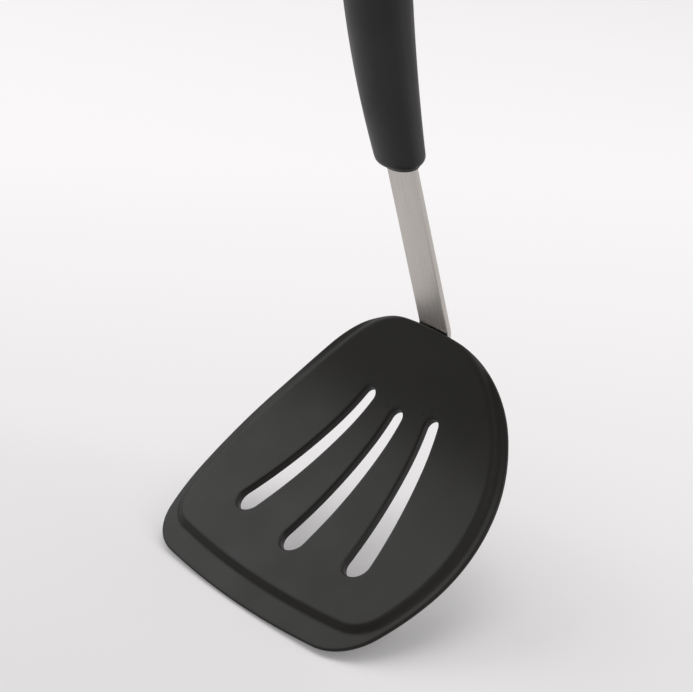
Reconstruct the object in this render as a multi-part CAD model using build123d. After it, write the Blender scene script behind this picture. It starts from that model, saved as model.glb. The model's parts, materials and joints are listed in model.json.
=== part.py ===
from build123d import *
import os
from math import atan2, cos, hypot, radians, sin, sqrt

# A slotted turner with a flexible blade, in millimetres. It is built lying with its food face up:
# X runs across the blade, the blade points along -Y and the handle along +Y. The blade's middle
# layer starts at the origin, at its rear edge. Last, the whole tool is stood on its front edge.

# Blade, seen square on. Lengths run from the rear edge; the outline is arcs that meet smoothly.
blade_width = 120.0
blade_length = 112.5            # along the curved middle layer
widest_at = 65.0
rear_radius = 190.0
shoulder_radius = 42.0
side_radius = 81.0
corner_radius = 20.0
front_radius = 345.0

# Blade, seen from the side: straight at the root, then three equal stretches of growing radius.
root_straight = 9.0
sweep_radii = (73.0, 148.0, 900.0)

# Moulded silicone skin: a thick pad with a thin lip round its front and sides.
skin_thickness = 3.0
lip_thickness = 1.4
lip_width = 11.0                # in front of the pad
side_lip_width = 5.5
boss_cover = 1.0                # silicone over the rivets at the back
boss_margin = 3.0               # silicone round the toe

# Slots, each a tapered gap with round ends.
slot_rear_radius = 2.9
slot_front_radius = 4.8
middle_slot_start = 26.6
middle_slot_end = 85.9
outer_slot_start = 24.1
outer_slot_end = 82.2
outer_slot_rear_x = 15.9
outer_slot_front_x = 28.2

# Spring steel plate inside the skin.
plate_thickness = 0.5
plate_rear_inset = 8.0
plate_side_inset = 13.0
plate_front_inset = 18.0
window_margin = 3.2             # between a slot and the plate's window round it
key_hole_radius = 1.5           # the silicone is keyed through these
key_hole_rows = (42.0, 56.0, 70.0)

# Steel strap: toe, bend, shaft and tang.
strap_width = 14.0
strap_thickness = 2.0
toe_end = 22.0                  # along the blade, short of the middle slot
toe_corner_radius = 4.0
bend_start = 3.0                # in front of the blade's rear edge
bend_radius = 9.0
bend_degrees = 36.5
shaft_length = 58.0             # from the bend to the handle
tang_width = 10.0
tang_length = 48.0
tang_shoulder_depth = 2.5       # how far the full width runs into the grip
tang_hole_radius = 2.5
tang_hole_count = 2
tang_hole_spacing = 16.0

# Rivets through plate and toe.
rivet_radius = 1.6
rivet_head_radius = 2.8
rivet_head_height = 0.6
rivet_count = 2
rivet_first = 9.0
rivet_pitch = 8.0

# Handle: oval sections on a gently curved centre line.
handle_length = 138.0
neck_width = 18.6
handle_width = 26.0
handle_end_width = 21.0
widest_from_neck = 92.0
handle_flatness = 0.7           # thickness over width
handle_curve_radius = 405.0
handle_section_count = 7
handle_end_round = 5.0
neck_round = 2.5
grip_wall = 2.2
core_neck_cover = 1.6
core_end_cover = 5.0

# Hanging hole.
hang_hole_radius = 4.5
hang_hole_from_end = 14.0
hang_hole_lining = 1.8
hang_hole_thickness = 11.0      # left between the two dished faces
hang_dish_radius = 8.0

# Stance: the blade's root leans back from upright by this much.
root_lean_degrees = 22.1

overrun = 12.0
half_width = blade_width / 2
half_skin = skin_thickness / 2
half_plate = plate_thickness / 2
sweep_length = (blade_length - root_straight) / len(sweep_radii)
strap_middle = -half_plate - strap_thickness / 2
rivet_tail = -half_plate - strap_thickness - rivet_head_height
boss_back = rivet_tail - boss_cover


def blade_point(along, height=0.0):
    """Point over the blade's centre line: along from the rear edge, height above the middle layer."""
    straight = min(along, root_straight)
    y = -straight
    z = 0.0
    angle = 0.0
    left = along - straight
    for index, radius in enumerate(sweep_radii):
        last = index == len(sweep_radii) - 1
        stretch = left if last else min(left, sweep_length)
        turned = angle + stretch / radius
        y -= radius * (sin(turned) - sin(angle))
        z += radius * (cos(angle) - cos(turned))
        angle = turned
        left -= stretch
    return Vector(0, y + height * sin(angle), z + height * cos(angle))


def blade_layer(low, high, start=-overrun, end=blade_length + overrun, width=blade_width + overrun):
    """Curved slab between two heights, from start to end along the blade, before it is trimmed."""
    joints = [root_straight + sweep_length * index for index in range(1, len(sweep_radii))]
    stops = [start] + [stop for stop in [root_straight] + joints if start < stop < end] + [end]
    edges = []
    for height in (low, high):
        for here, there in zip(stops, stops[1:]):
            ends = blade_point(here, height), blade_point(there, height)
            if there <= root_straight:
                edges.append(Line(*ends))
            else:
                edges.append(ThreePointArc(ends[0], blade_point((here + there) / 2, height), ends[1]))
    edges += [Line(blade_point(stop, low), blade_point(stop, high)) for stop in (start, end)]
    return extrude(Pos(-width / 2, 0, 0) * make_face(Curve() + edges), amount=width, dir=(1, 0, 0))


# The plan plane holds the blade's chord, from its rear edge to its front edge.
blade_tip = blade_point(blade_length)
chord_length = hypot(blade_tip.Y, blade_tip.Z)
chord_rise = atan2(blade_tip.Z, -blade_tip.Y)
plan = Plane(origin=(0, 0, 0), x_dir=(1, 0, 0), z_dir=(0, sin(chord_rise), cos(chord_rise)))


def plan_prism(sketch):
    """Prism that stands square on the chord and runs past both faces of the blade."""
    return extrude(plan.offset(-blade_length) * sketch, amount=2 * blade_length)


def crossing(center_a, reach_a, center_b, reach_b):
    """Point that lies reach_a from one centre and reach_b from the other, on the +X side."""
    line = center_b - center_a
    along = (reach_a**2 - reach_b**2 + line.length**2) / (2 * line.length)
    off = sqrt(reach_a**2 - along**2)
    across = Vector(-line.Y, line.X) / line.length
    points = [center_a + line * (along / line.length) + across * side for side in (off, -off)]
    return max(points, key=lambda point: point.X)


def arc_about(center, start, end):
    """Arc round a centre from start to end, the short way."""
    radius = (start - center).length
    middle = center + ((start - center).normalized() + (end - center).normalized()).normalized() * radius
    return ThreePointArc(start, middle, end)


def outline(rear_inset=0.0, side_inset=0.0, front_inset=0.0):
    """Blade outline in plan, or one that lies inside it by an inset at its rear, sides and front."""
    rear = Vector(0, -rear_radius)
    side = Vector(half_width - side_radius, -widest_at)
    front = Vector(0, front_radius - chord_length)
    rear_r = rear_radius - rear_inset
    side_r = side_radius - side_inset
    front_r = front_radius - front_inset
    shoulder_r = shoulder_radius - (rear_inset + side_inset) / 2
    corner_r = corner_radius - (side_inset + front_inset) / 2
    shoulder = crossing(rear, rear_r - shoulder_r, side, side_r - shoulder_r)
    corner = crossing(front, front_r - corner_r, side, side_r - corner_r)
    rear_end = rear + (shoulder - rear).normalized() * rear_r
    side_top = side + (shoulder - side).normalized() * side_r
    side_end = side + (corner - side).normalized() * side_r
    front_end = front + (corner - front).normalized() * front_r
    half = [
        arc_about(shoulder, rear_end, side_top),
        arc_about(side, side_top, side_end),
        arc_about(corner, side_end, front_end),
    ]
    whole = half + [mirror(edge, about=Plane.YZ) for edge in half]
    whole.append(arc_about(rear, Vector(-rear_end.X, rear_end.Y), rear_end))
    whole.append(arc_about(front, Vector(-front_end.X, front_end.Y), front_end))
    return make_face(Curve() + whole)


def slots(margin=0.0):
    """The three tapered slots in plan, each grown by a margin."""
    rear_r = slot_rear_radius
    front_r = slot_front_radius
    rows = [(0.0, middle_slot_start, 0.0, middle_slot_end)]
    rows += [
        (side * outer_slot_rear_x, outer_slot_start, side * outer_slot_front_x, outer_slot_end)
        for side in (-1, 1)
    ]
    shapes = Sketch()
    for rear_x, start, front_x, end in rows:
        rounds = Pos(rear_x, -start - rear_r) * Circle(rear_r + margin)
        rounds += Pos(front_x, -end + front_r) * Circle(front_r + margin)
        shapes += make_hull(rounds.edges())
    return shapes


def rivet_stations():
    """Distances of the rivets from the rear edge, along the blade."""
    return [rivet_first + rivet_pitch * index for index in range(rivet_count)]


def upright_at(along, height):
    """Plane on the blade's centre line whose Z axis is the blade's normal there."""
    normal = blade_point(along, skin_thickness) - blade_point(along)
    return Plane(origin=blade_point(along, height), x_dir=(1, 0, 0), z_dir=normal)


bend_turn = radians(bend_degrees)
bend_end = Plane(
    origin=(0, bend_radius * sin(bend_turn) - bend_start, strap_middle + bend_radius * (1 - cos(bend_turn))),
    x_dir=(1, 0, 0),
    z_dir=(0, cos(bend_turn), sin(bend_turn)),
)


def make_strap():
    """Toe formed to the blade, a bend at its rear edge, then a straight shaft with a narrower tang."""
    toe = blade_layer(-half_plate - strap_thickness, -half_plate, bend_start, toe_end, strap_width)
    nose = toe.faces().sort_by(Axis.Y)[0]
    corners = nose.edges().filter_by(lambda edge: abs(edge.center().X) > strap_width / 4)
    toe = fillet(corners, toe_corner_radius)
    bend_axis = Axis((0, -bend_start, strap_middle + bend_radius), (1, 0, 0))
    foot = Plane(origin=(0, -bend_start, strap_middle), x_dir=(1, 0, 0), z_dir=(0, 1, 0))
    bend = revolve(foot * Rectangle(strap_width, strap_thickness), bend_axis, bend_degrees)
    shaft_reach = shaft_length + tang_shoulder_depth
    shaft = extrude(bend_end * Rectangle(strap_width, strap_thickness), amount=shaft_reach)
    tang_foot = bend_end.offset(shaft_reach)
    tang = extrude(tang_foot * Rectangle(tang_width, strap_thickness), amount=tang_length)
    strap = toe + bend + shaft + tang
    for along in rivet_stations():
        strap -= upright_at(along, strap_middle) * Cylinder(rivet_radius, 2 * strap_thickness)
    for index in range(tang_hole_count):
        station = tang_foot.offset(tang_hole_spacing * (index + 1))
        strap -= station * (Rot(90, 0, 0) * Cylinder(tang_hole_radius, 2 * strap_thickness))
    return strap


def make_plate():
    """Spring plate with windows round the slots, holes for the rivets and keying holes."""
    plate = blade_layer(-half_plate, half_plate)
    plate &= plan_prism(outline(plate_rear_inset, plate_side_inset, plate_front_inset))
    plate -= plan_prism(slots(window_margin))
    for row in key_hole_rows:
        share = (row - outer_slot_start) / (outer_slot_end - outer_slot_start)
        slot_x = outer_slot_rear_x + share * (outer_slot_front_x - outer_slot_rear_x)
        slot_r = slot_rear_radius + share * (slot_front_radius - slot_rear_radius) + window_margin
        for x in (slot_x / 2, slot_x + slot_r + 2 * key_hole_radius):
            for side in (-1, 1):
                plate -= plan_prism(Pos(side * x, -row) * Circle(key_hole_radius))
    for along in rivet_stations():
        plate -= upright_at(along, 0) * Cylinder(rivet_radius, 2 * plate_thickness)
    return plate


def make_rivets():
    """Flat-headed rivets that clamp the plate to the toe."""
    grip = plate_thickness + strap_thickness
    center = (half_plate - half_plate - strap_thickness) / 2
    rivets = []
    for along in rivet_stations():
        rivet = Cylinder(rivet_radius, grip)
        for side in (-1, 1):
            rivet += Pos(0, 0, side * (grip + rivet_head_height) / 2) * Cylinder(rivet_head_radius, rivet_head_height)
        rivets.append(upright_at(along, center) * rivet)
    return Compound(children=rivets)


def handle_plane(distance):
    """Section plane on the handle's centre line; Y runs through its thickness, to the back."""
    turn = distance / handle_curve_radius
    ahead = handle_curve_radius * sin(turn)
    back = handle_curve_radius * (1 - cos(turn))
    neck = bend_end.offset(shaft_length)
    return Plane(
        origin=neck.origin + neck.z_dir * ahead + neck.y_dir * back,
        x_dir=(1, 0, 0),
        z_dir=neck.z_dir * cos(turn) + neck.y_dir * sin(turn),
    )


hole_plane = handle_plane(handle_length - hang_hole_from_end)


def handle_half_width(distance):
    """Half width: greatest at its widest place, less by a square law towards the neck and the end."""
    if distance < widest_from_neck:
        lost = handle_width - neck_width
        share = 1 - distance / widest_from_neck
    else:
        lost = handle_width - handle_end_width
        share = (distance - widest_from_neck) / (handle_length - widest_from_neck)
    return (handle_width - lost * share**2) / 2


def handle_form(inset=0.0, neck_cut=0.0, end_cut=0.0):
    """Oval handle form, or one that lies inside it by an inset and stops short of its two ends."""
    faces = []
    step = (handle_length - neck_cut - end_cut) / (handle_section_count - 1)
    for index in range(handle_section_count):
        distance = neck_cut + step * index
        half = handle_half_width(distance)
        faces.append(handle_plane(distance) * Ellipse(half - inset, half * handle_flatness - inset))
    return loft(faces)


def across_handle(radius, height, offset=0.0):
    """Cylinder through the handle's thickness at the hanging hole."""
    return hole_plane * (Pos(0, offset, 0) * Rot(90, 0, 0) * Cylinder(radius, height))


def dishes(radius, thickness):
    """Round dishes that thin the handle round its hanging hole, one from each side."""
    offset = (thickness + handle_length) / 2
    return across_handle(radius, handle_length, -offset) + across_handle(radius, handle_length, offset)


def make_core(strap):
    """Hard core moulded round the tang, with an eye for the hanging hole."""
    core = handle_form(grip_wall, core_neck_cover, core_end_cover)
    core -= across_handle(hang_hole_radius + hang_hole_lining, handle_length)
    core -= dishes(hang_dish_radius + grip_wall, hang_hole_thickness - 2 * hang_hole_lining)
    return core - strap


def make_grip(core, strap):
    """Soft grip moulded over the core, with a dish on both sides of its lined hanging hole."""
    grip = handle_form()
    ends = grip.faces().sort_by(Axis((0, 0, 0), bend_end.z_dir))
    grip = fillet(ends[0].edges(), neck_round)
    ends = grip.faces().sort_by(Axis((0, 0, 0), bend_end.z_dir))
    grip = fillet(ends[-1].edges(), handle_end_round)
    grip -= dishes(hang_dish_radius, hang_hole_thickness)
    grip -= across_handle(hang_hole_radius, handle_length)
    return grip - core - strap


def make_skin(plate, strap, rivets):
    """Silicone skin moulded over plate, rivets and toe: pad, lip and a boss behind the toe."""
    skin = blade_layer(-half_skin, half_skin) & plan_prism(outline(0, side_lip_width, lip_width))
    skin += blade_layer(-half_skin, lip_thickness - half_skin) & plan_prism(outline())
    boss_length = toe_end + boss_margin
    boss_width = strap_width + 2 * boss_margin
    boss_plan = Pos(0, -boss_length / 2) * RectangleRounded(boss_width, boss_length, boss_margin)
    boss_plan += Pos(0, -boss_length / 4) * Rectangle(boss_width, boss_length / 2)
    skin += blade_layer(boss_back, 0) & extrude(Plane.XY.offset(-overrun) * (boss_plan & outline()), 2 * overrun)
    skin -= plan_prism(slots())
    return skin - plate - strap - rivets


strap = make_strap()
plate = make_plate()
rivets = make_rivets()
core = make_core(strap)
pieces = {
    "blade_skin": make_skin(plate, strap, rivets),
    "blade_plate": plate,
    "toe_rivets": rivets,
    "shaft": strap,
    "handle_core": core,
    "handle_grip": make_grip(core, strap),
}

# Stand the tool on its front edge, then put the origin under the middle of its bounding box.
stance = Rot(90 - root_lean_degrees, 0, 0)
boxes = [(stance * piece).bounding_box() for piece in pieces.values()]
back = max(box.max.Y for box in boxes)
front = min(box.min.Y for box in boxes)
floor = min(box.min.Z for box in boxes)
stance = Pos(0, -(back + front) / 2, -floor) * stance
os.makedirs("parts", exist_ok=True)
for name, piece in pieces.items():
    export_step(stance * piece, f"parts/{name}.step")
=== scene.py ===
"""Slotted turner: a flexible silicone blade on a bent steel strap with a soft oval handle.

The tool stands on its front edge with the handle on top. All lengths are in metres.
"""
import json
import math

import bmesh
import bpy
import numpy as np
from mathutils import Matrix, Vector
from mathutils.geometry import delaunay_2d_cdt


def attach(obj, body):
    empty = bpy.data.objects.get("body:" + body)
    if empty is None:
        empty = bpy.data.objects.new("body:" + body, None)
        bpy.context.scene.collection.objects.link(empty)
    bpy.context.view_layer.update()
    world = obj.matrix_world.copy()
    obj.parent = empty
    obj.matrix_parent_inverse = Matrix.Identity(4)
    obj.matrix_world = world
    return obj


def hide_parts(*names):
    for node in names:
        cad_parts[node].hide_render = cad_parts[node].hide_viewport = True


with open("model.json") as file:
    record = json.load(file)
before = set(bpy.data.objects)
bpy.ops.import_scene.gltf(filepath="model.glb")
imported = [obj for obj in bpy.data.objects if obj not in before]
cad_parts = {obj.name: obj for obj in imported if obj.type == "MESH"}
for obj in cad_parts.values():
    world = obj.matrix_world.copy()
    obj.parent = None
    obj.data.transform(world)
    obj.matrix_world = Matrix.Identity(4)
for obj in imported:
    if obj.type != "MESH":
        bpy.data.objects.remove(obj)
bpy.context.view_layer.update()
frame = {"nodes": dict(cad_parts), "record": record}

# --- Camera ------------------------------------------------------------------------------------
# A long lens that looks down a little on the food face, from the front and to the right of it.
camera_target = Vector((0.0041, 0.0, 0.0786))
camera_distance = 0.656
camera_azimuth = math.radians(51.41)
camera_elevation = math.radians(23.87)
camera_lens = 109.1

camera_data = bpy.data.cameras.new("studio_camera")
camera_data.lens = camera_lens
camera_data.sensor_width = 36.0
camera = bpy.data.objects.new("studio_camera", camera_data)
bpy.context.scene.collection.objects.link(camera)
view_out = Vector((
    math.sin(camera_azimuth) * math.cos(camera_elevation),
    -math.cos(camera_azimuth) * math.cos(camera_elevation),
    math.sin(camera_elevation),
))
camera.location = camera_target + view_out * camera_distance
camera.rotation_mode = "QUATERNION"
camera.rotation_quaternion = view_out.to_track_quat("Z", "Y")
bpy.context.scene.camera = camera
bpy.context.scene.view_settings.view_transform = "Standard"

# --- Floor, backdrop and lamps -----------------------------------------------------------------
# A white studio sweep: the floor keeps a soft shadow, and large soft lamps light the tool.
floor_size = 6.0
floor_color = "#e4e2e3"
floor_painted_glow = (0.17, 0.40)       # painted glow standing in for the sweep's light, near and far
floor_fade = (0.20, -0.55)      # X less Y where it starts and ends
world_strength = 0.36


def linear(hex_color):
    """sRGB hex to linear: c/12.92 under 0.04045, else ((c + 0.055) / 1.055) to the power 2.4."""
    parts = [int(hex_color[i:i + 2], 16) / 255 for i in (1, 3, 5)]
    return (*[c / 12.92 if c <= 0.04045 else ((c + 0.055) / 1.055) ** 2.4 for c in parts], 1.0)


def add_node(tree, kind, inputs=(), **settings):
    """Adds one shader node, sets its properties, then fills its inputs with values or links."""
    node = tree.nodes.new(kind)
    for name, value in settings.items():
        setattr(node, name, value)
    for name, value in dict(inputs).items():
        if isinstance(value, bpy.types.NodeSocket):
            tree.links.new(value, node.inputs[name])
        else:
            node.inputs[name].default_value = value
    return node


def new_material(name):
    """Empty node material with its output: returns the material, its tree and the Surface input."""
    material = bpy.data.materials.new(name)
    material.use_nodes = True
    material.node_tree.nodes.clear()
    output = material.node_tree.nodes.new("ShaderNodeOutputMaterial")
    return material, material.node_tree, output.inputs["Surface"]


def put_mesh(name, vertices, faces, smooth=True):
    """New object at the origin from arrays of vertices (metres) and faces."""
    mesh = bpy.data.meshes.new(name)
    mesh.from_pydata(np.asarray(vertices).tolist(), [], faces)
    mesh.polygons.foreach_set("use_smooth", [smooth] * len(mesh.polygons))
    mesh.update()
    piece = bpy.data.objects.new(name, mesh)
    bpy.context.scene.collection.objects.link(piece)
    return piece


half_floor = floor_size / 2
floor = put_mesh(
    "studio_floor",
    [(x * half_floor, y * half_floor, 0) for x, y in ((-1, -1), (1, -1), (1, 1), (-1, 1))],
    [(0, 1, 2, 3)],
    smooth=False,
)
# Matt white paper: it keeps the soft shadow, and a painted glow, seen by the camera and in
# reflections, makes it paler with distance in place of the light on a lit sweep.
floor_material, tree, surface = new_material("white_paper_sweep")
place = add_node(tree, "ShaderNodeTexCoord")
axes = add_node(tree, "ShaderNodeSeparateXYZ", {"Vector": place.outputs["Object"]})
depth = add_node(tree, "ShaderNodeMath", {0: axes.outputs["X"], 1: axes.outputs["Y"]}, operation="SUBTRACT")
fade = add_node(tree, "ShaderNodeMapRange", {
    "Value": depth.outputs["Value"], "From Min": floor_fade[0], "From Max": floor_fade[1],
})
lift = add_node(tree, "ShaderNodeMapRange", {
    "Value": fade.outputs["Result"], "To Min": floor_painted_glow[0], "To Max": floor_painted_glow[1],
})
seen = add_node(tree, "ShaderNodeLightPath")
direct = add_node(tree, "ShaderNodeMath", {
    0: seen.outputs["Is Camera Ray"], 1: seen.outputs["Is Glossy Ray"],
}, operation="MAXIMUM")
clear = add_node(tree, "ShaderNodeMath", {
    0: direct.outputs["Value"], 1: seen.outputs["Is Transmission Ray"],
}, operation="MAXIMUM")
strength = add_node(tree, "ShaderNodeMath", {
    0: clear.outputs["Value"], 1: lift.outputs["Result"],
}, operation="MULTIPLY")
# Painted light: this emission grows from near to far, a glow in place of the sweep's lighting.
glow = add_node(tree, "ShaderNodeEmission", {
    "Color": linear(floor_color), "Strength": strength.outputs["Value"],
})
paper = add_node(tree, "ShaderNodeBsdfDiffuse", {"Color": linear(floor_color)})
both = add_node(tree, "ShaderNodeAddShader", {0: paper.outputs["BSDF"], 1: glow.outputs["Emission"]})
tree.links.new(both.outputs["Shader"], surface)
floor.data.materials.append(floor_material)

world = bpy.data.worlds.new("studio_world")
world.use_nodes = True
bpy.context.scene.world = world
world.node_tree.nodes["Background"].inputs["Color"].default_value = linear("#ffffff")
world.node_tree.nodes["Background"].inputs["Strength"].default_value = world_strength

# Each lamp: name, place, the point it faces, width and height in metres, power in watts.
lamps = (
    ("softbox_left", (-0.95, -0.10, 0.85), (0, 0, 0.08), 0.9, 0.9, 3.6),
    ("strip_right", (0.75, 0.55, 0.55), (0, 0, 0.12), 0.35, 0.9, 2.6),
    ("softbox_top", (0.05, 0.35, 1.30), (0, 0, 0.05), 0.9, 0.9, 5.0),
)
for name, place, facing, width, height, power in lamps:
    lamp = bpy.data.lights.new(name, "AREA")
    lamp.shape = "RECTANGLE"
    lamp.size = width
    lamp.size_y = height
    lamp.energy = power
    light = bpy.data.objects.new(name, lamp)
    light.location = place
    light.rotation_mode = "QUATERNION"
    light.rotation_quaternion = (Vector(place) - Vector(facing)).to_track_quat("Z", "Y")
    bpy.context.scene.collection.objects.link(light)

# --- Blade skin --------------------------------------------------------------------------------
# The blade is moulded black silicone over a spring plate: a thick pad that steps down to a thin
# lip at the front and sides, with three tapered slots and a boss at the back that holds the
# strap's toe. Every edge is rounded by the mould.
blade_length = 0.1125
blade_half_width = 0.060
blade_widest_at = 0.065
outline_radii = {"rear": 0.190, "shoulder": 0.042, "side": 0.081, "corner": 0.020, "front": 0.345}
root_straight = 0.009           # flat at the root, then three stretches of growing radius
sweep_radii = (0.073, 0.148, 0.900)
sweep_length = (blade_length - root_straight) / len(sweep_radii)
root_lean = math.radians(22.1)
skin_half = 0.0015              # heights are off the middle layer, towards the food side
lip_top = -0.0001
lip_width = 0.011
side_lip_width = 0.0055
step_run = 0.0030               # how far the pad takes to step down to the lip
edge_round = 0.00065
slot_edge_round = 0.0006
slot_rounds = (0.0029, 0.0048)  # rear and front
slot_lines = (                  # each: rear x and start, front x and end
    (0.0, 0.0266, 0.0, 0.0859),
    (0.0159, 0.0241, 0.0282, 0.0822),
    (-0.0159, 0.0241, -0.0282, 0.0822),
)
boss_depth = 0.00235            # beyond the back face
boss_half_width = 0.0100
boss_length = 0.0250
boss_slope = 0.0022
rim_reaches = np.array([0.0008, 0.0014, 0.0022])  # rings of mesh inside each rounded edge
rim_angles = (0, 22, 44, 62, 78, 90)
loop_spacing = 0.0007           # of the mesh along the outline
pad_spacing = 0.0004            # of the points that the step is measured from
slot_spacing = 0.0008
slot_end_steps = 20
front_pitch = 0.0009            # of the mesh on the food face, fine enough for the step
back_pitch = 0.0014


def blade_curve(along):
    """Middle layer in side view: heading, forward and upward distance at each arc length.

    Straight at first, then arcs: each adds radius times the change of the heading's sine and
    cosine, and its heading grows by length over radius.
    """
    along = np.asarray(along, float)
    heading = np.zeros_like(along)
    forward = np.minimum(along, root_straight)
    upward = np.zeros_like(along)
    left = along - forward
    for index, radius in enumerate(sweep_radii):
        last = index == len(sweep_radii) - 1
        stretch = left if last else np.minimum(left, sweep_length)
        turned = heading + stretch / radius
        forward = forward + radius * (np.sin(turned) - np.sin(heading))
        upward = upward + radius * (np.cos(heading) - np.cos(turned))
        heading = turned
        left = left - stretch
    return heading, forward, upward


_, tip_forward, tip_upward = blade_curve(blade_length)
chord_length = math.hypot(tip_forward, tip_upward)
chord_rise = math.atan2(tip_upward, tip_forward)
curve_along = np.linspace(-0.01, blade_length + 0.01, 2000)
curve_heading, curve_forward, curve_upward = blade_curve(curve_along)
curve_chord = curve_forward * math.cos(chord_rise) + curve_upward * math.sin(chord_rise)


def on_blade(x, chord, height):
    """Point square above plan place (x, chord) that lies height off the middle layer.

    The arc length is read off the curve at chord plus height times the sine of the heading
    less the chord's rise, because the layer's own normal leans by that much.
    """
    guess = np.interp(chord, curve_chord, curve_heading)
    along = np.interp(chord + height * np.sin(guess - chord_rise), curve_chord, curve_along)
    heading, forward, upward = blade_curve(along)
    return np.stack([x, -forward + height * np.sin(heading), upward + height * np.cos(heading)], -1)


def arc_centers(rear_inset, side_inset, front_inset):
    """Centres and radii of the outline's arcs; shoulder and corner touch both their neighbours."""
    radii = dict(outline_radii)
    radii["rear"] -= rear_inset
    radii["side"] -= side_inset
    radii["front"] -= front_inset
    radii["shoulder"] -= (rear_inset + side_inset) / 2
    radii["corner"] -= (side_inset + front_inset) / 2
    centers = {
        "rear": np.array([0.0, outline_radii["rear"]]),
        "side": np.array([blade_half_width - outline_radii["side"], blade_widest_at]),
        "front": np.array([0.0, chord_length - outline_radii["front"]]),
    }
    for small, big in (("shoulder", "rear"), ("corner", "front")):
        line = centers["side"] - centers[big]
        span = np.hypot(*line)
        reach = radii[big] - radii[small]
        other = radii["side"] - radii[small]
        along = (reach**2 - other**2 + span**2) / (2 * span)
        off = math.sqrt(reach**2 - along**2)
        across = np.array([-line[1], line[0]]) / span
        options = [centers[big] + line * along / span + side * off * across for side in (1, -1)]
        centers[small] = max(options, key=lambda point: point[0])
    return centers, radii


def outline_points(insets, spacing):
    """Closed outline in plan, evenly spaced, with its outward normals: arcs of equal-angle steps."""
    centers, radii = arc_centers(*insets)
    order = ("rear", "shoulder", "side", "corner", "front")
    angles = {}
    for big, small in (("rear", "shoulder"), ("side", "shoulder"), ("side", "corner"), ("front", "corner")):
        gap = centers[small] - centers[big]
        angles[(big, small)] = math.atan2(gap[1], gap[0])
    spans = {
        "rear": (-math.pi / 2, angles[("rear", "shoulder")]),
        "shoulder": (angles[("rear", "shoulder")], angles[("side", "shoulder")]),
        "side": (angles[("side", "shoulder")], angles[("side", "corner")]),
        "corner": (angles[("side", "corner")], angles[("front", "corner")]),
        "front": (angles[("front", "corner")], math.pi / 2),
    }
    turns, middles, reaches = [], [], []
    for name in order:
        start, end = spans[name]
        steps = max(2, int(round((end - start) * radii[name] / spacing)))
        turn = np.linspace(start, end, steps, endpoint=False)
        turns.append(turn)
        middles.append(np.tile(centers[name], (steps, 1)))
        reaches.append(np.full(steps, radii[name]))
    turn = np.concatenate(turns)
    normals = np.stack([np.cos(turn), np.sin(turn)], -1)
    points = np.concatenate(middles) + normals * np.concatenate(reaches)[:, None]
    tip = np.array([[0.0, centers["front"][1] + radii["front"]]])
    half_points = np.concatenate([points, tip])
    half_normals = np.concatenate([normals, [[0.0, 1.0]]])
    mirror = np.array([-1.0, 1.0])
    points = np.concatenate([half_points, half_points[-2:0:-1] * mirror])
    normals = np.concatenate([half_normals, half_normals[-2:0:-1] * mirror])
    return points, normals


def slot_loop(line, spacing):
    """Closed edge of a slot with its outward normals: two arcs joined by straight sides."""
    rear = np.array([line[0], line[1] + slot_rounds[0]])
    front = np.array([line[2], line[3] - slot_rounds[1]])
    axis = front - rear
    span = np.hypot(*axis)
    axis = axis / span
    lean = math.asin((slot_rounds[1] - slot_rounds[0]) / span)
    rear_turn = np.linspace(math.pi / 2 + lean, 3 * math.pi / 2 - lean, slot_end_steps)
    front_turn = np.linspace(-math.pi / 2 - lean, math.pi / 2 + lean, slot_end_steps)
    side_steps = int(span / spacing)
    share = np.linspace(0, 1, side_steps + 1)[1:-1, None]
    across = np.array([-axis[1], axis[0]])

    def arc(center, radius, turn):
        """Points at a radius round a centre, with their normals."""
        normal = np.cos(turn)[:, None] * axis + np.sin(turn)[:, None] * across
        return center + normal * radius, normal

    front_points, front_normals = arc(front, slot_rounds[1], front_turn)
    rear_points, rear_normals = arc(rear, slot_rounds[0], rear_turn)
    points = np.concatenate([
        front_points, front_points[-1] + share * (rear_points[0] - front_points[-1]),
        rear_points, rear_points[-1] + share * (front_points[0] - rear_points[-1]),
    ])
    normals = np.concatenate([
        front_normals, np.tile(front_normals[-1], (len(share), 1)),
        rear_normals, np.tile(rear_normals[-1], (len(share), 1)),
    ])
    return points, normals


def signed_distance(places, loop):
    """Distance of plan places inside a closed loop (negative outside): nearest point, signed by
    its outward normal."""
    points, normals = loop
    inside = np.empty(len(places))
    for start in range(0, len(places), 4000):
        part = places[start:start + 4000]
        gap = part[:, None, :] - points[None, :, :]
        nearest = np.argmin((gap**2).sum(-1), axis=1)
        inside[start:start + 4000] = -(gap[np.arange(len(part)), nearest] * normals[nearest]).sum(-1)
    return inside


def smooth_step(share):
    """Rises from 0 to 1 with level ends: 3 t squared less 2 t cubed."""
    share = np.clip(share, 0.0, 1.0)
    return share * share * (3 - 2 * share)


pad_loop = outline_points((0.0, side_lip_width, lip_width), pad_spacing)


def front_height(places):
    """Food face above the middle layer: the pad, stepping down to the lip outside the pad's edge."""
    depth = signed_distance(places, pad_loop)
    return lip_top + (skin_half - lip_top) * smooth_step(depth / step_run + 1.0)


def back_height(places):
    """Back face: level, with a raised boss behind the toe whose sides slope like a rounded box."""
    beside = np.maximum(np.abs(places[:, 0]) - boss_half_width + boss_slope, 0)
    beyond = np.maximum(places[:, 1] - boss_length + boss_slope, 0)
    away = np.hypot(beside, beyond)
    return -skin_half - boss_depth * smooth_step(1.0 - away / boss_slope)


def rim_rings(loop, inward, round_radius, reaches):
    """Rings that carry a rounded edge along a loop, from deep on the food face round to the back.

    Each ring is the loop moved inward by a reach and lowered by the quarter circle's drop:
    reach r(1 - sin a), drop r(1 - cos a).
    """
    points, normals = loop
    angles = np.radians(rim_angles)
    quarter_reach = round_radius * (1 - np.sin(angles))
    quarter_drop = round_radius * (1 - np.cos(angles))
    reach = np.concatenate([np.sort(reaches)[::-1], quarter_reach])
    drop = np.concatenate([np.zeros(len(reaches)), quarter_drop])
    rings = []
    steps = list(range(len(reach)))
    for side in (1, -1):
        for index in steps[::side]:
            places = points - inward * normals * reach[index]
            height = front_height(places) if side == 1 else back_height(places)
            rings.append((places, height - side * drop[index]))
    return rings


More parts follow.
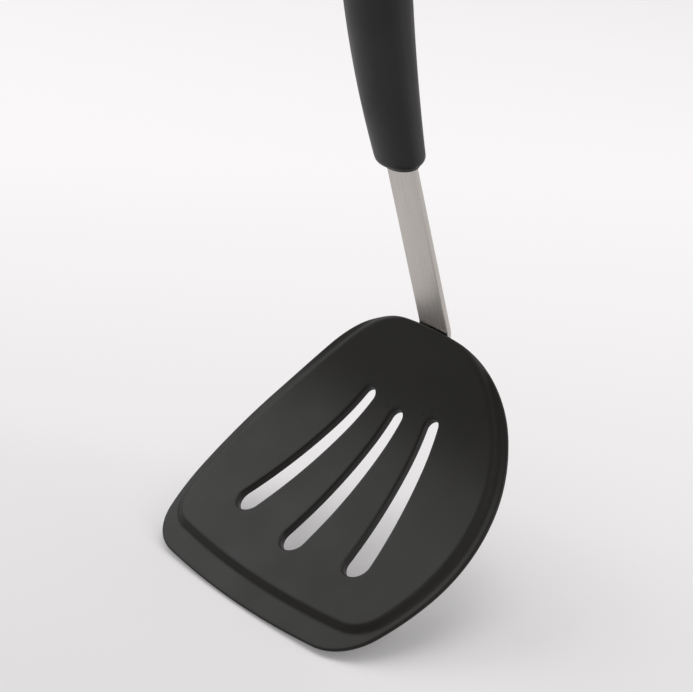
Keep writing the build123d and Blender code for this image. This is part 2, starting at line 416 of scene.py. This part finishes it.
def lean_up(points):
    """Turns the lying tool (blade along -Y, food side up) about X until its root leans as it stands."""
    across, up = math.sin(root_lean), math.cos(root_lean)
    y = points[:, 1] * across - points[:, 2] * up
    z = points[:, 1] * up + points[:, 2] * across
    return np.stack([points[:, 0], y, z], -1)


def fill_between(loops, spare, keep):
    """Triangles between closed loops of plan points, through the spare points: a constrained
    Delaunay triangulation, less the triangles whose middle fails the keep test."""
    points = np.concatenate(loops + [spare])
    edges = []
    start = 0
    for loop in loops:
        ring = start + np.arange(len(loop))
        edges.append(np.stack([ring, np.roll(ring, -1)], -1))
        start += len(loop)
    flat = [Vector(point) for point in (points * 1000).tolist()]
    result = delaunay_2d_cdt(flat, np.concatenate(edges).tolist(), [], 0, 1e-6)
    origin = np.array([ids[0] for ids in result[3]])
    triangles = origin[np.array(result[2])]
    return triangles[keep(points[triangles].mean(axis=1))]


def band_quads(here, there):
    """Four-cornered faces that join each closed ring of mesh to the next one, point by point."""
    return np.stack([here, np.roll(here, -1, axis=-1), np.roll(there, -1, axis=-1), there], -1)


def close_mesh(piece):
    """Merges doubles on a closed shell and turns its faces outwards."""
    shell = bmesh.new()
    shell.from_mesh(piece.data)
    bmesh.ops.remove_doubles(shell, verts=shell.verts, dist=1e-7)
    bmesh.ops.recalc_face_normals(shell, faces=shell.faces)
    shell.to_mesh(piece.data)
    shell.free()
    piece.data.update()


# The strap's bend and the handle's arc lead from the blade to the hanging hole, whose place in the
# frame is known, so they say where the blade stands.
hang_hole = np.array(frame["record"]["mounts"][0]["pos_m"])
strap_middle = -0.00125
bend_start = 0.003
bend_radius = 0.009
bend_turn = math.radians(36.5)
shaft_length = 0.058
handle_curve_radius = 0.405
handle_length = 0.138
hang_hole_from_end = 0.014
neck_ahead = np.array([0.0, math.cos(bend_turn), math.sin(bend_turn)])
neck_back = np.array([0.0, math.sin(bend_turn), -math.cos(bend_turn)])
bend_end = np.array([
    0.0,
    bend_radius * math.sin(bend_turn) - bend_start,
    strap_middle + bend_radius * (1 - math.cos(bend_turn)),
])


def handle_axes(distance):
    """Centre line of the handle, an arc to the back: origin and back direction at each distance."""
    turn = np.asarray(distance, float)[..., None] / handle_curve_radius
    arc = np.sin(turn) * neck_ahead + (1 - np.cos(turn)) * neck_back
    origin = bend_end + shaft_length * neck_ahead + handle_curve_radius * arc
    back = np.cos(turn) * neck_back - np.sin(turn) * neck_ahead
    return origin, back


stance_shift = hang_hole - lean_up(handle_axes([handle_length - hang_hole_from_end])[0])[0]

outer_loop = outline_points((0.0, 0.0, 0.0), loop_spacing)
slot_loops = [slot_loop(line, slot_spacing) for line in slot_lines]
vertices = []
faces = []
count = 0
front_rims, back_rims = [], []
front_ids, back_ids = [], []
rims = [(outer_loop, 1, edge_round)] + [(loop, -1, slot_edge_round) for loop in slot_loops]
for loop, inward, round_radius in rims:
    rings = rim_rings(loop, inward, round_radius, rim_reaches + round_radius)
    size = len(loop[0])
    ids = count + np.arange(size)
    for index, (places, height) in enumerate(rings):
        vertices.append(on_blade(places[:, 0], places[:, 1], height))
        if index:
            here = ids + (index - 1) * size
            there = ids + index * size
            faces += band_quads(here, there).tolist()
    front_rims.append(rings[0][0])
    back_rims.append(rings[-1][0])
    front_ids.append(ids)
    back_ids.append(ids + (len(rings) - 1) * size)
    count += size * len(rings)


def well_inside(places, gap):
    """True for places further than a gap from the outline and from every slot, in the silicone."""
    clear = signed_distance(places, outer_loop) > gap
    for loop in slot_loops:
        clear &= signed_distance(places, loop) < -gap
    return clear


edge_gap = rim_reaches[-1] + edge_round
row_share = 0.866               # row spacing over pitch in a triangular grid
grid_clearance = 0.6            # of a pitch, between grid and rings
rim_slack = 0.0001              # keeps the slim triangles that lie along a ring
for rim_points, rim_ids, pitch, height_of in (
    (front_rims, front_ids, front_pitch, front_height),
    (back_rims, back_ids, back_pitch, back_height),
):
    grid_rows = np.arange(0, chord_length, pitch * row_share)
    grid_columns = np.arange(-blade_half_width, blade_half_width, pitch)
    grid_x, grid_chord = np.meshgrid(grid_columns, grid_rows)
    grid_x = grid_x + (np.arange(len(grid_rows)) % 2)[:, None] * pitch / 2
    spare = np.stack([grid_x.ravel(), grid_chord.ravel()], -1)
    spare = spare[well_inside(spare, edge_gap + pitch * grid_clearance)]
    triangles = fill_between(rim_points, spare, lambda places: well_inside(places, edge_gap - rim_slack))
    lookup = np.concatenate(rim_ids + [count + np.arange(len(spare))])
    vertices.append(on_blade(spare[:, 0], spare[:, 1], height_of(spare)))
    count += len(spare)
    faces += lookup[triangles].tolist()

blade_skin = put_mesh("moulded_blade", lean_up(np.concatenate(vertices)) + stance_shift, faces)
close_mesh(blade_skin)
# Moulded silicone: a satin black with a warm cast, from a finely blasted mould, and a faint
# unevenness in its gloss where hands and washing have polished it.
blast_size = 0.00035            # drawn coarser than the real 0.05 mm grit, which would not show
polish_size = 0.020
silicone, tree, surface = new_material("moulded_silicone")
place = add_node(tree, "ShaderNodeTexCoord")
blast = add_node(tree, "ShaderNodeTexNoise", {
    "Vector": place.outputs["Object"], "Scale": 1 / blast_size, "Detail": 2.0,
})
polish = add_node(tree, "ShaderNodeTexNoise", {
    "Vector": place.outputs["Object"], "Scale": 1 / polish_size, "Detail": 3.0,
})
gloss = add_node(tree, "ShaderNodeMapRange", {
    "Value": polish.outputs["Fac"], "From Min": 0.3, "From Max": 0.7, "To Min": 0.40, "To Max": 0.48,
})
shade = add_node(tree, "ShaderNodeValToRGB", {"Fac": polish.outputs["Fac"]})
shade.color_ramp.elements[0].color = linear("#11100d")
shade.color_ramp.elements[1].color = linear("#191611")
relief = add_node(tree, "ShaderNodeBump", {
    "Height": blast.outputs["Fac"], "Distance": 0.00001, "Strength": 0.35,
})
body = add_node(tree, "ShaderNodeBsdfPrincipled", {
    "Base Color": shade.outputs["Color"], "Roughness": gloss.outputs["Result"], "IOR": 1.41,
    "Normal": relief.outputs["Normal"],
})
tree.links.new(body.outputs["BSDF"], surface)
blade_skin.data.materials.append(silicone)
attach(blade_skin, "root")
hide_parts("blade_skin")

# --- Strap -------------------------------------------------------------------------------------
# A strip of brushed stainless spring steel, 14 by 2 mm, bent once where it leaves the blade. Its
# long edges are tumbled round, and a narrower tang runs on inside the handle.
strap_half_width = 0.007
strap_half_thickness = 0.001
strap_edge_round = 0.00045
toe_end = 0.022
tang_half_width = 0.005
tang_length = 0.048
tang_shoulder_depth = 0.0025

toe_steps = 24
bend_steps = 19
tang_steps = 8
toe_corner_radius = 0.004
shoulder_cover = 0.001          # full width hidden past the grip's mouth
shoulder_slope = 0.0005         # the strip narrows to its tang over this length

# The middle line: the toe follows the blade, then an arc, then straight on; "up" is its normal
# towards the food side.
toe_along = np.linspace(toe_end, bend_start, toe_steps)
toe_heading, toe_forward, toe_upward = blade_curve(toe_along)
toe_path = np.stack([
    np.zeros(toe_steps),
    -toe_forward + strap_middle * np.sin(toe_heading),
    toe_upward + strap_middle * np.cos(toe_heading),
], -1)
toe_up = np.stack([np.zeros(toe_steps), np.sin(toe_heading), np.cos(toe_heading)], -1)
bend_angle = np.linspace(0, bend_turn, bend_steps + 1)[1:]
bend_path = np.stack([
    np.zeros(bend_steps),
    bend_radius * np.sin(bend_angle) - bend_start,
    strap_middle + bend_radius * (1 - np.cos(bend_angle)),
], -1)
bend_up = np.stack([np.zeros(bend_steps), -np.sin(bend_angle), np.cos(bend_angle)], -1)
shaft_reach = shaft_length + tang_shoulder_depth + shoulder_cover
run = np.concatenate([
    np.linspace(0, shaft_reach, 40)[1:],
    [shaft_reach + shoulder_slope / 5],
    np.linspace(shaft_reach + shoulder_slope, shaft_reach + tang_length, tang_steps),
])
shaft_path = bend_end + run[:, None] * neck_ahead
shaft_up = np.tile(-neck_back, (len(run), 1))
strap_path = np.concatenate([toe_path, bend_path, shaft_path])
strap_up = np.concatenate([toe_up, bend_up, shaft_up])
strap_steps = np.linalg.norm(np.diff(strap_path, axis=0), axis=1)
strap_along = np.concatenate([[0.0], np.cumsum(strap_steps)])

# Half width along the line: full, less the circle's chord at the toe's round nose, less at the tang.
strap_half = np.full(len(strap_path), strap_half_width)
strap_half[-tang_steps:] = tang_half_width
nose = np.clip((toe_corner_radius - strap_along) / toe_corner_radius, 0, 1)
strap_half = strap_half - toe_corner_radius * (1 - np.sqrt(1 - nose**2))

# The section: a rectangle with round corners, carried along the line.
corner = np.radians([0, 22.5, 45, 67.5, 90])
quarter = np.stack([np.cos(corner), np.sin(corner)], -1) * strap_edge_round
profile_x = np.concatenate([quarter[:, 0], -quarter[::-1, 0], -quarter[:, 0], quarter[::-1, 0]])
profile_z = np.concatenate([quarter[:, 1], quarter[::-1, 1], -quarter[:, 1], -quarter[::-1, 1]])
side_x = np.repeat([1, -1, -1, 1], len(corner))
side_z = np.repeat([1, 1, -1, -1], len(corner))
across = profile_x + side_x * (strap_half[:, None] - strap_edge_round)
above = profile_z + side_z * (strap_half_thickness - strap_edge_round)
points = strap_path[:, None, :] + above[None, :, None] * strap_up[:, None, :]
points[:, :, 0] += across
rows, columns = across.shape
ids = np.arange(rows * columns).reshape(rows, columns)
quads = band_quads(ids[:-1], ids[1:]).reshape(-1, 4)
ends = [ids[0].tolist(), ids[-1].tolist()]
strap = put_mesh("bent_strap", lean_up(points.reshape(-1, 3)) + stance_shift, quads.tolist() + ends)
# Brush lines follow the strip, so the map holds its length and the way across and down its edge.
corners = np.empty(len(strap.data.loops), int)
strap.data.loops.foreach_get("vertex_index", corners)
along_map = np.repeat(strap_along, columns)[corners]
across_map = (across + above[None, :]).ravel()[corners]
length_map = strap.data.uv_layers.new(name="length_map")
length_map.data.foreach_set("uv", np.stack([along_map, across_map], -1).ravel())
close_mesh(strap)

# Brushed stainless: fine bright and dull lines along the strip, so lights smear across it.
line_width = 0.00025            # drawn wider than the real 0.05 mm scratches, which would not show
line_length = 0.030
steel, tree, surface = new_material("brushed_stainless")
place = add_node(tree, "ShaderNodeUVMap", uv_map="length_map")
stretch = add_node(tree, "ShaderNodeMapping", {
    "Vector": place.outputs["UV"], "Scale": (1 / line_length, 1 / line_width, 1.0),
})
lines = add_node(tree, "ShaderNodeTexNoise", {
    "Vector": stretch.outputs["Vector"], "Scale": 1.0, "Detail": 3.0,
})
gloss = add_node(tree, "ShaderNodeMapRange", {
    "Value": lines.outputs["Fac"], "From Min": 0.3, "From Max": 0.7, "To Min": 0.24, "To Max": 0.38,
})
shade = add_node(tree, "ShaderNodeValToRGB", {"Fac": lines.outputs["Fac"]})
shade.color_ramp.elements[0].position = 0.25
shade.color_ramp.elements[0].color = linear("#b3aea8")
shade.color_ramp.elements[1].position = 0.75
shade.color_ramp.elements[1].color = linear("#cdc9c4")
relief = add_node(tree, "ShaderNodeBump", {
    "Height": lines.outputs["Fac"], "Distance": 0.00001, "Strength": 0.4,
})
body = add_node(tree, "ShaderNodeBsdfPrincipled", {
    "Base Color": shade.outputs["Color"], "Metallic": 1.0, "Roughness": gloss.outputs["Result"],
    "Anisotropic": 0.5, "Normal": relief.outputs["Normal"],
})
tree.links.new(body.outputs["BSDF"], surface)
strap.data.materials.append(steel)
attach(strap, "root")
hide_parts("shaft")

# --- Grip --------------------------------------------------------------------------------------
# Soft thermoplastic elastomer moulded over a hard core: oval, waisted at the neck, curving gently
# to the back, with a flared hanging hole between two shallow dishes.
neck_half_width = 0.0093
handle_half_width = 0.013
end_half_width = 0.0105
widest_from_neck = 0.092
handle_flatness = 0.7
neck_round = 0.0025
end_round = 0.005
hang_hole_radius = 0.0045
hang_hole_half = 0.0055
dish_inner = 0.0052
dish_outer = 0.0088
window_half = 0.0108           # the grid is cut open this far round the hole
grip_columns = 192
neck_start = 0.0025             # the shaft is bare this far past the core's own neck
ridge_height = 0.035            # share of the section that the ridge stands up
ridge_spread = math.radians(26)


def grip_half_width(distance):
    """Half width: the widest, less a square law towards the neck and towards the end."""
    toward_neck = np.clip(1 - distance / widest_from_neck, 0, None)
    toward_end = np.clip((distance - widest_from_neck) / (handle_length - widest_from_neck), 0, None)
    return (handle_half_width - (handle_half_width - neck_half_width) * toward_neck**2
            - (handle_half_width - end_half_width) * toward_end**2)


def grip_inset(distance):
    """How far the rounded neck and end draw the section in: r less the circle's chord there."""
    neck = np.clip((neck_start + neck_round - distance) / neck_round, 0, 1)
    end = np.clip((distance - handle_length + end_round) / end_round, 0, 1)
    return neck_round * (1 - np.sqrt(1 - neck**2)) + end_round * (1 - np.sqrt(1 - end**2))


def on_grip(across, height, distance):
    """Point beside the centre line: across in X, height towards the food side."""
    origin, back = handle_axes(distance)
    return origin + across[..., None] * np.array([1.0, 0, 0]) - height[..., None] * back


def ridge(turn, distance):
    """Soft ridge down each side of the food face: a tent in angle, fading out up the handle.

    Its angle from the middle of the food face falls from 77 degrees at the neck to 58.
    """
    middle = np.radians(77 - 19 * np.clip(distance / 0.056, 0, 1))
    away = np.abs(np.abs((turn + math.pi) % (2 * math.pi) - math.pi) - middle)
    fade = 1 - smooth_step((distance - 0.070) / 0.035)
    return 1 + ridge_height * fade * np.clip(1 - away / ridge_spread, 0, 1)


neck_turns = np.radians([0, 12, 24, 36, 48, 60, 75])
end_turns = np.radians([0, 12, 24, 36, 48, 60, 70, 80, 90])
body_row_count = 96
cap_scales = [0.3, 0.6, 0.85]   # rings of mesh on the two flat ends, as shares of the section
hole_flare = 0.0012             # round edge of the hanging hole
flare_turns = np.radians([0, 22, 45, 68, 90])
dish_rings = [dish_outer, 0.0082, 0.0076, 0.0070, 0.0064]
ring_points = 64
ring_slack = 0.97               # keeps the slim triangles that lie along the outer ring

# The whole grip as closed sections from neck to end, with the ridge swelling each section.
rounded_neck = neck_start + neck_round * (1 - np.cos(neck_turns))
body_rows = np.linspace(neck_start + neck_round, handle_length - end_round, body_row_count)[:-1]
rounded_end = handle_length - end_round * (1 - np.sin(end_turns))
side_rows = np.concatenate([rounded_neck, body_rows, rounded_end])
cap_rows = np.ones(len(cap_scales))
row_distance = np.concatenate([neck_start * cap_rows, side_rows, handle_length * cap_rows])
row_scale = np.concatenate([cap_scales, np.ones(len(side_rows)), cap_scales[::-1]])
turn = np.linspace(0, 2 * math.pi, grip_columns, endpoint=False)
half = grip_half_width(row_distance) - grip_inset(row_distance)
thick = grip_half_width(row_distance) * handle_flatness - grip_inset(row_distance)
swell = ridge(turn, row_distance[:, None])
across = (half * row_scale)[:, None] * np.sin(turn) * swell
height = (thick * row_scale)[:, None] * np.cos(turn) * swell
points = on_grip(across, height, np.repeat(row_distance[:, None], grip_columns, axis=1))
rows = len(row_distance)
ids = np.arange(rows * grip_columns).reshape(rows, grip_columns)
quads = band_quads(ids[:-1], ids[1:])

# A window is cut in the food face and in the back, and rings lead from it down the dish and round
# the flare. Ring height runs smoothly from the oval to the dish: its share grows inwards.
hole_at = handle_length - hang_hole_from_end
row_in = np.flatnonzero(np.abs(row_distance - hole_at) < window_half)
first_row, last_row = row_in[0], row_in[-1]
reach = grip_columns // 6
vertices = [points.reshape(-1, 3)]
faces = []
keep = np.ones((rows - 1, grip_columns), bool)
circle = np.linspace(0, 2 * math.pi, ring_points, endpoint=False)
ring_radius = np.concatenate([dish_rings, hang_hole_radius + hole_flare * (1 - np.sin(flare_turns))])
ring_drop = np.concatenate([np.zeros(len(dish_rings)), hole_flare * (1 - np.cos(flare_turns))])
count = rows * grip_columns
walls = []
for middle, side in ((0, 1), (grip_columns // 2, -1)):
    columns_in = (middle + np.arange(-reach, reach + 1)) % grip_columns
    keep[first_row:last_row, columns_in[:-1]] = False
    border = np.concatenate([
        ids[first_row, columns_in], ids[first_row + 1:last_row, columns_in[-1]],
        ids[last_row, columns_in[::-1]], ids[first_row + 1:last_row, columns_in[0]][::-1],
    ])
    border_row = border // grip_columns
    steps = (border % grip_columns - middle + grip_columns // 2) % grip_columns - grip_columns // 2
    border_turn = steps * 2 * math.pi / grip_columns
    border_flat = np.stack([half[border_row] * border_turn, row_distance[border_row] - hole_at], -1)
    rings = []
    for radius, drop in zip(ring_radius, ring_drop):
        ring_x = radius * np.sin(circle)
        ring_distance = radius * np.cos(circle) + hole_at
        ring_half = grip_half_width(ring_distance) - grip_inset(ring_distance)
        ring_thick = grip_half_width(ring_distance) * handle_flatness - grip_inset(ring_distance)
        oval = ring_thick * np.sqrt(1 - (ring_x / ring_half) ** 2)
        share = smooth_step((dish_outer - radius) / (dish_outer - dish_inner))
        ring_height = oval + (hang_hole_half - oval) * share - drop
        vertices.append(on_grip(ring_x * side, side * ring_height, ring_distance))
        rings.append(count + np.arange(ring_points))
        if radius == dish_outer:
            ring_flat = np.stack([ring_half * np.arcsin(ring_x / ring_half), radius * np.cos(circle)], -1)
        count += ring_points
    triangles = fill_between(
        [border_flat, ring_flat], np.zeros((0, 2)),
        lambda places: np.hypot(places[:, 0], places[:, 1]) > dish_outer * ring_slack,
    )
    lookup = np.concatenate([border, rings[0]])
    faces += lookup[triangles].tolist()
    for here, there in zip(rings, rings[1:]):
        faces += band_quads(here, there).tolist()
    walls.append(rings[-1])
faces += band_quads(walls[0], np.roll(walls[1][::-1], 1)).tolist()
faces += quads[keep].tolist() + [ids[0].tolist(), ids[-1].tolist()]
grip = put_mesh("soft_grip", lean_up(np.concatenate(vertices)) + stance_shift, faces)
close_mesh(grip)

# Moulded elastomer: a soft matt black with a fine spark-eroded grain that breaks up its sheen.
grain_size = 0.0004
elastomer, tree, surface = new_material("moulded_elastomer")
place = add_node(tree, "ShaderNodeTexCoord")
grain = add_node(tree, "ShaderNodeTexNoise", {
    "Vector": place.outputs["Object"], "Scale": 1 / grain_size, "Detail": 2.0,
})
wear = add_node(tree, "ShaderNodeTexNoise", {
    "Vector": place.outputs["Object"], "Scale": 60.0, "Detail": 3.0,
})
gloss = add_node(tree, "ShaderNodeMapRange", {
    "Value": wear.outputs["Fac"], "From Min": 0.3, "From Max": 0.7, "To Min": 0.46, "To Max": 0.55,
})
shade = add_node(tree, "ShaderNodeValToRGB", {"Fac": grain.outputs["Fac"]})
shade.color_ramp.elements[0].color = linear("#0f0e0e")
shade.color_ramp.elements[1].color = linear("#181616")
relief = add_node(tree, "ShaderNodeBump", {
    "Height": grain.outputs["Fac"], "Distance": 0.000015, "Strength": 0.5,
})
body = add_node(tree, "ShaderNodeBsdfPrincipled", {
    "Base Color": shade.outputs["Color"], "Roughness": gloss.outputs["Result"], "IOR": 1.48,
    "Normal": relief.outputs["Normal"],
})
tree.links.new(body.outputs["BSDF"], surface)
grip.data.materials.append(elastomer)
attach(grip, "root")
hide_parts("handle_grip")

# --- Plate, rivets and core --------------------------------------------------------------------
# Sealed inside the mouldings: a rolled spring steel plate, two turned steel rivets and the
# handle's polypropylene core. They keep their solid shapes.
# Each: node, material name, two colours, metallic, roughness, grain size in metres.
inner_finishes = (
    ("blade_plate", "rolled_spring_steel", "#8d8b88", "#a3a19d", 1.0, 0.35, 0.0012),
    ("toe_rivets", "turned_steel", "#a9a7a4", "#bdbbb8", 1.0, 0.28, 0.0004),
    ("handle_core", "moulded_polypropylene", "#2a2a2b", "#353536", 0.0, 0.50, 0.0006),
)
for node_name, material_name, low_color, high_color, metallic, roughness, grain_size in inner_finishes:
    inner, tree, surface = new_material(material_name)
    place = add_node(tree, "ShaderNodeTexCoord")
    grain = add_node(tree, "ShaderNodeTexNoise", {
        "Vector": place.outputs["Object"], "Scale": 1 / grain_size, "Detail": 2.0,
    })
    shade = add_node(tree, "ShaderNodeValToRGB", {"Fac": grain.outputs["Fac"]})
    shade.color_ramp.elements[0].color = linear(low_color)
    shade.color_ramp.elements[1].color = linear(high_color)
    relief = add_node(tree, "ShaderNodeBump", {
        "Height": grain.outputs["Fac"], "Distance": 0.00001, "Strength": 0.3,
    })
    body = add_node(tree, "ShaderNodeBsdfPrincipled", {
        "Base Color": shade.outputs["Color"], "Metallic": metallic, "Roughness": roughness,
        "Normal": relief.outputs["Normal"],
    })
    tree.links.new(body.outputs["BSDF"], surface)
    node = frame["nodes"][node_name]
    node.data.materials.clear()
    node.data.materials.append(inner)
